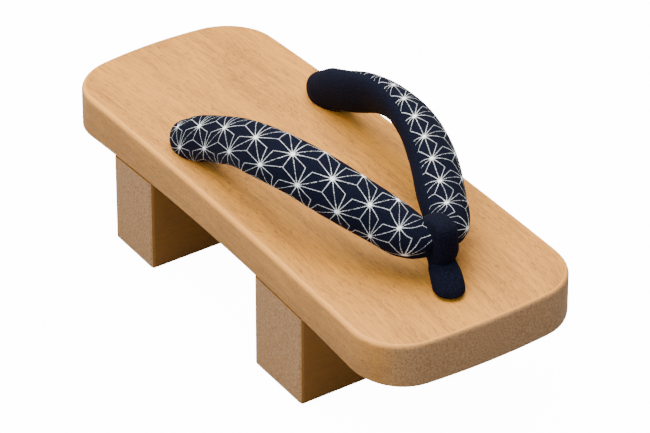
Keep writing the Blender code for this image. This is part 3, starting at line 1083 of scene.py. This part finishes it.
def make_knot(name, x, y, wood, knots, material):
    """A cord pulled tight into a lobed knot under its hole, with its neck."""
    ceiling = underside(wood, x) + RECESS_DEPTH
    path = []
    for i in range(KNOT_STEPS):
        turn = 2 * pi * i / KNOT_STEPS
        out = KNOT_OUT + KNOT_SWING * cos(knots.lobes * turn)
        path.append((
            x + out * cos(2 * turn), y + out * sin(2 * turn),
            ceiling - KNOT_DROP + KNOT_SWING * sin(knots.lobes * turn),
        ))
    rings = ring_tube(path, knots.cord / 2, CORD_SIDES)
    vertices, faces = skin(rings + rings[:1])
    neck = HOLE_DIAMETER / 2 - GAP
    profile = [(neck * NECK_NARROW, ceiling - NECK_START),
               (neck, ceiling - NECK_FULL), (neck, deck(wood, x) - GAP)]
    start = len(vertices)
    more, more_faces = turned(profile, x, y, NECK_SIDES)
    vertices += more
    faces += [tuple(v + start for v in face) for face in more_faces]
    places = []
    for v in (v for face in faces for v in face):
        px, py, pz = vertices[v]
        around = atan2(py - y, px - x) * HOLE_DIAMETER / 2
        places.append((around * CM_PER_METRE, pz * CM_PER_METRE))
    return make_object(name, vertices, faces, material, SOFT_SHARP, places)


def make_camera(stage):
    camera = bpy.data.objects.new("camera", bpy.data.cameras.new("camera"))
    camera.data.lens = stage.lens
    camera.data.clip_end = 20.0
    camera.location = CAMERA_PLACE
    camera.rotation_euler = Vector(CAMERA_WAY).to_track_quat("-Z", "Y").to_euler()
    bpy.context.scene.collection.objects.link(camera)
    bpy.context.scene.camera = camera


def floor_material(stage):
    """Pale paper, brighter to the camera than its light, and clear from below."""
    material, tree, shader = new_material("floor_paper", roughness=0.9)
    coordinates = add(tree, "ShaderNodeTexCoord")
    tooth = noise(tree, coordinates.outputs["Object"], scale=300.0, detail=3.0)
    pale = toned(stage.floor, 0.985)
    put(tree, shader.inputs["Base Color"], mixed(tree, tooth, pale, stage.floor))
    seen = add(tree, "ShaderNodeLightPath").outputs["Is Camera Ray"]
    glow = scaled(tree, seen, stage.glow)
    put(tree, shader.inputs["Emission Strength"], glow)
    shader.inputs["Emission Color"].default_value = (1.0, 1.0, 1.0, 1.0)
    behind = add(tree, "ShaderNodeNewGeometry").outputs["Backfacing"]
    put(tree, shader.inputs["Alpha"], maths(tree, "SUBTRACT", 1.0, behind))
    return material


def make_lamp(lamp, stage):
    data = bpy.data.lights.new(lamp.name, "AREA")
    data.shape = "DISK"
    data.size = lamp.size
    data.energy = getattr(stage, lamp.power)
    data.color = getattr(stage, lamp.tint)
    light = bpy.data.objects.new(lamp.name, data)
    light.location = LIGHT_TARGET + Vector(lamp.way).normalized() * lamp.distance
    aim = LIGHT_TARGET - light.location
    light.rotation_euler = aim.to_track_quat("-Z", "Y").to_euler()
    bpy.context.scene.collection.objects.link(light)


def make_sky(stage):
    """An even light all round that fades towards the ground."""
    world = bpy.data.worlds.new("soft_sky")
    world.use_nodes = True
    tree = world.node_tree
    background = tree.nodes["Background"]
    background.inputs["Color"].default_value = (*stage.sky_tint, 1.0)
    height = split(tree, add(tree, "ShaderNodeTexCoord").outputs["Generated"])[2]
    strength = ramp(tree, height, -0.1, 0.8, start=stage.sky * 0.1, end=stage.sky)
    put(tree, background.inputs["Strength"], strength)
    bpy.context.scene.world = world


class GETA_OT_board(bpy.types.Operator):
    """Make the board with its cord holes, in grained wood"""
    bl_idname = "geta.board"
    bl_label = "Make board"

    def execute(self, context):
        wood = context.scene.geta_wood
        material = wood_material("board_wood", wood, shift=(0.0, 0.0, 0.0), darker=0.0)
        piece = make_object("board_wood", *board_shape(wood), material, WOOD_SHARP)
        for x, y in hole_places(wood).values():
            ceiling = underside(wood, x) + RECESS_DEPTH
            profile = [
                (RECESS_DIAMETER / 2, underside(wood, x) - DRILL_REACH),
                (RECESS_DIAMETER / 2, ceiling),
                (HOLE_DIAMETER / 2, ceiling),
                (HOLE_DIAMETER / 2, deck(wood, x) + DRILL_REACH),
            ]
            drill(piece, make_object("drill", *turned(profile, x, y, HOLE_SIDES)))
        piece.data.set_sharp_from_angle(angle=radians(WOOD_SHARP))
        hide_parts("board")
        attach(piece, BODY)
        return {"FINISHED"}


class GETA_OT_teeth(bpy.types.Operator):
    """Give both teeth their sawn wood"""
    bl_idname = "geta.teeth"
    bl_label = "Finish teeth"

    def execute(self, context):
        wood = context.scene.geta_wood
        for name, shift in TOOTH_WOOD.items():
            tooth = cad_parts[name]
            # The teeth's wood is made darker, partly as its own tone and partly as painted
            # shade for lying under the board
            material = wood_material(name + "_wood", wood, shift, darker=0.60,
                                     crosswise=True)
            for slot in tooth.material_slots:
                slot.material = material
        return {"FINISHED"}


class GETA_OT_strap(bpy.types.Operator):
    """Make both padded arms of the V, printed outside and plain inside"""
    bl_idname = "geta.strap"
    bl_label = "Make strap"

    def execute(self, context):
        strap = context.scene.geta_strap
        piece = make_strap(strap, context.scene.geta_wood)
        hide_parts("strap")
        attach(piece, BODY)
        return {"FINISHED"}


class GETA_OT_loop(bpy.types.Operator):
    """Make the toe post and the band round the point of the V"""
    bl_idname = "geta.loop"
    bl_label = "Make toe loop"

    def execute(self, context):
        scene = context.scene
        piece = make_loop(scene.geta_loop, scene.geta_strap, scene.geta_wood)
        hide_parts("toe_loop")
        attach(piece, BODY)
        return {"FINISHED"}


class GETA_OT_knots(bpy.types.Operator):
    """Tie the three knots in the recesses beneath the board"""
    bl_idname = "geta.knots"
    bl_label = "Tie knots"

    def execute(self, context):
        wood, knots = context.scene.geta_wood, context.scene.geta_knots
        material = cord_material(knots.tint)
        for name, (x, y) in hole_places(wood).items():
            piece = make_knot("knot_" + name, x, y, wood, knots, material)
            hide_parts("tie_" + name)
            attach(piece, BODY)
        return {"FINISHED"}


class GETA_OT_stage(bpy.types.Operator):
    """Make the camera, the pale floor and the soft lights"""
    bl_idname = "geta.stage"
    bl_label = "Make stage"

    def execute(self, context):
        stage = context.scene.geta_stage
        make_camera(stage)
        material = floor_material(stage)
        corners = [(x * FLOOR_REACH, y * FLOOR_REACH, -FLOOR_DROP)
                   for x, y in ((-1, -1), (1, -1), (1, 1), (-1, 1))]
        make_object("floor", corners, [(0, 1, 2, 3)], material)
        for lamp in LAMPS:
            make_lamp(lamp, stage)
        make_sky(stage)
        return {"FINISHED"}


class GETA_PT_panel(bpy.types.Panel):
    """The sandal's pieces with their sizes and colours"""
    bl_idname = "GETA_PT_panel"
    bl_label = "Geta sandal"
    bl_space_type = "VIEW_3D"
    bl_region_type = "UI"
    bl_category = "Geta"

    def draw(self, context):
        for title, place, _, operators in SECTIONS:
            box = self.layout.box()
            box.label(text=title)
            settings = getattr(context.scene, place)
            for name in settings.bl_rna.properties.keys():
                if name not in ("rna_type", "name"):
                    box.prop(settings, name)
            for operator in operators:
                box.operator(operator.bl_idname)


# Each section's title, its place on the scene, its settings and its operators
SECTIONS = (
    ("Wood", "geta_wood", GetaWood, (GETA_OT_board, GETA_OT_teeth)),
    ("Strap", "geta_strap", GetaStrap, (GETA_OT_strap,)),
    ("Toe loop", "geta_loop", GetaLoop, (GETA_OT_loop,)),
    ("Knots", "geta_knots", GetaKnots, (GETA_OT_knots,)),
    ("Stage", "geta_stage", GetaStage, (GETA_OT_stage,)),
)
CLASSES = [
    each for _, _, settings, operators in SECTIONS for each in (settings, *operators)
] + [GETA_PT_panel]


def register():
    for each in CLASSES:
        bpy.utils.register_class(each)
    for _, place, settings, _ in SECTIONS:
        setattr(bpy.types.Scene, place, PointerProperty(type=settings))


def unregister():
    for _, place, _, _ in SECTIONS:
        delattr(bpy.types.Scene, place)
    for each in reversed(CLASSES):
        bpy.utils.unregister_class(each)


def main():
    register()
    bpy.ops.geta.stage()
    bpy.ops.geta.board()
    bpy.ops.geta.teeth()
    bpy.ops.geta.strap()
    bpy.ops.geta.loop()
    bpy.ops.geta.knots()


if __name__ == "__main__":
    main()
